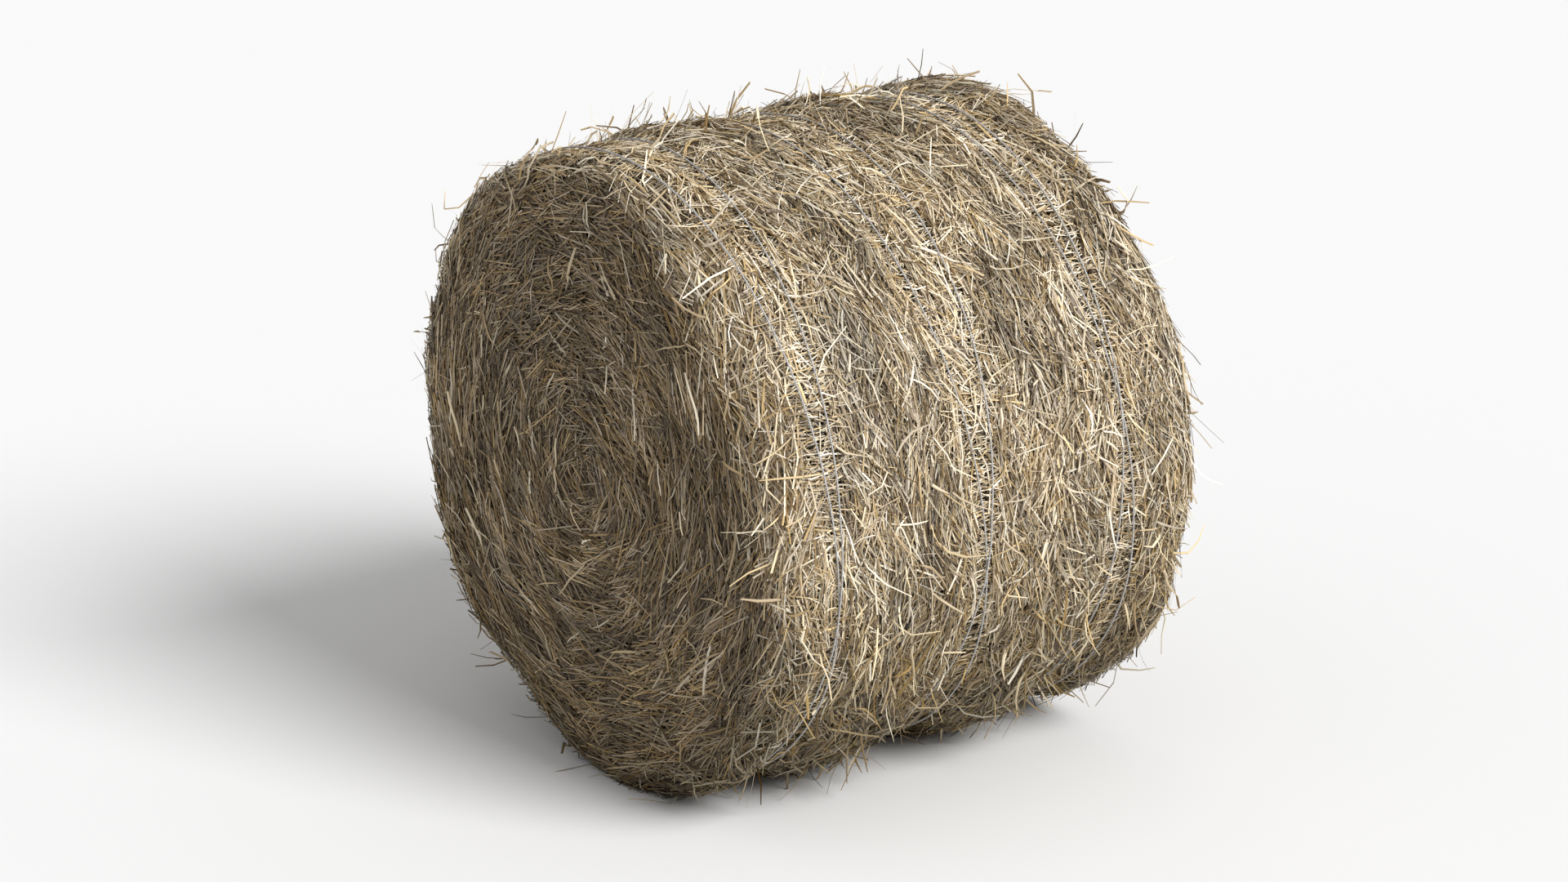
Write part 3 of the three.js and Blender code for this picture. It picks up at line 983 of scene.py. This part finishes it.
# The twine: three lengths of grey baler twine, three plies twisted together, each wound twice round.
# Each starts with a short tail, goes round once and again over its first turn, and ends in a tail.
TWINE_RADIUS = 0.0027
TWINE_SLACK = 0.0004
TWINE_PITCH = 0.009
TWINE_LAY = 0.034
TWINE_STEP = 0.007
TAIL = math.radians(12)
FACET = math.radians(6)
ROUTE_POINTS = 720

# The later turn rides over the earlier one: in full where they are as close as the first of these
# distances, and not at all beyond the second.
RIDES_OVER = (0.010, 0.022)

# Its section: three plies, how many points it has round it, and how deep the grooves between them are.
PLIES = 3
SECTION_POINTS = 9
GROOVE_DEPTH = 0.32


def meeting_angle(first, second):
    """The angle at the back of the bale where the two turns of a wrap meet."""
    apart = first[0] - second[0]
    across = first[1] * math.cos(first[2]) - second[1] * math.cos(second[2])
    up = first[1] * math.sin(first[2]) - second[1] * math.sin(second[2])
    angle = math.atan2(up, across) + math.acos(-apart / math.hypot(across, up))
    return round(angle / FACET) * FACET


def twine_route(first, second):
    start = meeting_angle(first, second)
    full = 2 * math.pi
    wound = np.linspace(-TAIL, 2 * full + TAIL, ROUTE_POINTS)

    def place(angle_wound):
        angle = start + angle_wound
        where = np.where(angle_wound >= full, turn_place(second, angle), turn_place(first, angle))
        return where + TWINE_PITCH * (angle_wound / full - 1)

    here = place(wound)
    once = np.abs(here - place(wound - full))
    twice = np.abs(here - place(wound - 2 * full))
    twice = np.where(wound - 2 * full >= -TAIL, twice, 1.0)
    touching, apart = RIDES_OVER
    rise = 1 - smooth((np.minimum(once, twice) - touching) / (apart - touching))
    rise = np.where(wound < full + FACET, 0, rise * (1 - np.clip((wound - 2 * full) / FACET, 0, 1)))
    radius = valley_radius(start + wound) + TWINE_RADIUS + TWINE_SLACK + rise * 2 * TWINE_RADIUS
    return on_bale(here, radius, start + wound)


def twine_tree():
    tree = bpy.data.node_groups.new("twisted_twine", "GeometryNodeTree")
    tree.interface.new_socket("Geometry", in_out="INPUT", socket_type="NodeSocketGeometry")
    for name in ("Radius", "Lay", "Step"):
        tree.interface.new_socket(name, in_out="INPUT", socket_type="NodeSocketFloat")
    tree.interface.new_socket("Material", in_out="INPUT", socket_type="NodeSocketMaterial")
    tree.interface.new_socket("Geometry", in_out="OUTPUT", socket_type="NodeSocketGeometry")
    given = node(tree, "NodeGroupInput").outputs
    route = node(tree, "GeometryNodeMeshToCurve", {0: given["Geometry"]}).outputs[0]
    steps = {"Curve": route, "Length": given["Step"]}
    route = node(tree, "GeometryNodeResampleCurve", steps, mode="LENGTH").outputs[0]
    gone = node(tree, "GeometryNodeSplineParameter").outputs["Length"]
    twist = maths(tree, "MULTIPLY", maths(tree, "DIVIDE", gone, given["Lay"]), 2 * math.pi)
    twisted = node(tree, "GeometryNodeSetCurveTilt", {"Curve": route, "Tilt": twist}).outputs[0]
    twisted = store(tree, twisted, "gone", gone)
    circle = {"Resolution": SECTION_POINTS, "Radius": 1.0}
    section = node(tree, "GeometryNodeCurvePrimitiveCircle", circle).outputs[0]
    spot = node(tree, "GeometryNodeInputPosition").outputs[0]
    parts = node(tree, "ShaderNodeSeparateXYZ", {0: spot}).outputs
    turned = maths(tree, "ARCTAN2", parts["Y"], parts["X"])
    section = store(tree, section, "ply", turned)
    lobes = maths(tree, "ABSOLUTE", maths(tree, "COSINE", maths(tree, "MULTIPLY", turned, PLIES / 2)))
    lobes = maths(tree, "ADD", 1 - GROOVE_DEPTH, maths(tree, "MULTIPLY", lobes, GROOVE_DEPTH))
    lobed = vectors(tree, "SCALE", spot, maths(tree, "MULTIPLY", given["Radius"], lobes))
    section = node(tree, "GeometryNodeSetPosition", {"Geometry": section, "Position": lobed}).outputs[0]
    sweep = {"Curve": twisted, "Profile Curve": section, "Fill Caps": True}
    swept = node(tree, "GeometryNodeCurveToMesh", sweep).outputs[0]
    swept = node(tree, "GeometryNodeSetShadeSmooth", {"Geometry": swept}).outputs[0]
    swept = node(tree, "GeometryNodeRealizeInstances", {"Geometry": swept}).outputs[0]
    coloured = {"Geometry": swept, "Material": given["Material"]}
    swept = node(tree, "GeometryNodeSetMaterial", coloured).outputs[0]
    out = node(tree, "NodeGroupOutput")
    tree.links.new(swept, out.inputs[0])
    return tree


# Its colour: painted shade in the grooves between the plies, with a fuzz of fibres along them.
FUZZ_ROUND = 3.0
FUZZ_ALONG = 60.0
GROOVE_SHADE = 0.6
FUZZ_SHADE = 0.5


def twine_material():
    material, tree, shader = new_material("grey_twine")

    def attribute(name):
        return node(tree, "ShaderNodeAttribute", attribute_name=name).outputs["Fac"]

    ply, gone = attribute("ply"), attribute("gone")
    # Painted shade in the grooves between the plies.
    painted_groove_shade = maths(tree, "ABSOLUTE", maths(tree, "COSINE", maths(tree, "MULTIPLY", ply, PLIES / 2)))
    fibres = {"X": maths(tree, "MULTIPLY", ply, FUZZ_ROUND), "Y": maths(tree, "MULTIPLY", gone, FUZZ_ALONG)}
    fibres = node(tree, "ShaderNodeCombineXYZ", fibres).outputs[0]
    fuzz = node(tree, "ShaderNodeTexNoise", {"Vector": fibres, "Scale": 3.0, "Detail": 4.0}).outputs["Fac"]
    painted_groove_shade = maths(tree, "MULTIPLY", painted_groove_shade, GROOVE_SHADE)
    shade = maths(tree, "ADD", painted_groove_shade, maths(tree, "MULTIPLY", fuzz, FUZZ_SHADE))
    ramp = node(tree, "ShaderNodeValToRGB", {"Fac": shade})
    ramp.color_ramp.elements[0].position = 0.2
    ramp.color_ramp.elements[0].color = rgb(98, 96, 94)
    ramp.color_ramp.elements[1].position = 0.85
    ramp.color_ramp.elements[1].color = rgb(204, 202, 199)
    link(tree, ramp.outputs["Color"], shader.inputs["Base Color"])
    shader.inputs["Roughness"].default_value = 0.6
    return material


twisted_twine = twine_tree()
grey_twine = twine_material()
for name, turns in TWINE_TURNS.items():
    route = bpy.data.meshes.new("twine_route_" + name)
    places = twine_route(*turns)
    route.from_pydata(places.tolist(), [(i, i + 1) for i in range(len(places) - 1)], [])
    values = {"Radius": TWINE_RADIUS, "Lay": TWINE_LAY, "Step": TWINE_STEP, "Material": grey_twine}
    twine = plain_mesh("twine_" + name, route, twisted_twine, values)
    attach(twine, "root")
    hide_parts("twine_wrap_" + name)

# The stage: a wide pale floor, a soft key light from the right, and pale light from all round.
FLOOR_HALF = 40.0
FLOOR_GREY = 0.835
SKY_STRENGTH = 0.49
KEY_AZIMUTH = math.radians(-75)
KEY_ELEVATION = math.radians(39)
KEY_STRENGTH = 3.3
KEY_SPREAD = math.radians(28)

floor_mesh = bpy.data.meshes.new("floor")
corners = [(x * FLOOR_HALF, y * FLOOR_HALF, 0) for x, y in ((-1, -1), (1, -1), (1, 1), (-1, 1))]
floor_mesh.from_pydata(corners, [], [(0, 1, 2, 3)])
floor = bpy.data.objects.new("floor", floor_mesh)
bpy.context.scene.collection.objects.link(floor)
floor_paint, _, floor_shader = new_material("pale_floor")
floor_shader.inputs["Base Color"].default_value = (FLOOR_GREY, FLOOR_GREY, FLOOR_GREY, 1)
floor_shader.inputs["Roughness"].default_value = 0.9
floor_mesh.materials.append(floor_paint)

world = bpy.data.worlds.new("studio")
world.use_nodes = True
sky = world.node_tree.nodes["Background"]
sky.inputs["Color"].default_value = (1, 1, 1, 1)
sky.inputs["Strength"].default_value = SKY_STRENGTH
bpy.context.scene.world = world

key_from = Vector(
    (
        math.cos(KEY_AZIMUTH) * math.cos(KEY_ELEVATION),
        math.sin(KEY_AZIMUTH) * math.cos(KEY_ELEVATION),
        math.sin(KEY_ELEVATION),
    )
)
key = bpy.data.lights.new("key", "SUN")
key.energy = KEY_STRENGTH
key.angle = KEY_SPREAD
key_light = bpy.data.objects.new("key", key)
key_light.rotation_euler = key_from.to_track_quat("Z", "Y").to_euler()
bpy.context.scene.collection.objects.link(key_light)
bpy.context.scene.view_settings.view_transform = "Standard"

# The camera, where the photo was taken from: a long lens, well back, to the left of the bale's front.
AZIMUTH = math.radians(-37.31)
ELEVATION = math.radians(17.36)
DISTANCE = 11.142
OFFSET_RIGHT = -0.0455
OFFSET_UP = -0.0250
LENS = 108.6
back = Vector(
    (
        math.sin(AZIMUTH) * math.cos(ELEVATION),
        -math.cos(AZIMUTH) * math.cos(ELEVATION),
        math.sin(ELEVATION),
    )
)
right = Vector((math.cos(AZIMUTH), math.sin(AZIMUTH), 0))
up = back.cross(right)
camera_data = bpy.data.cameras.new("camera")
camera_data.lens = LENS
camera_data.clip_end = 200
camera = bpy.data.objects.new("camera", camera_data)
camera.location = Vector((0, 0, AXIS_HEIGHT)) + back * DISTANCE + right * OFFSET_RIGHT + up * OFFSET_UP
camera.rotation_euler = back.to_track_quat("Z", "Y").to_euler()
bpy.context.scene.collection.objects.link(camera)
bpy.context.scene.camera = camera
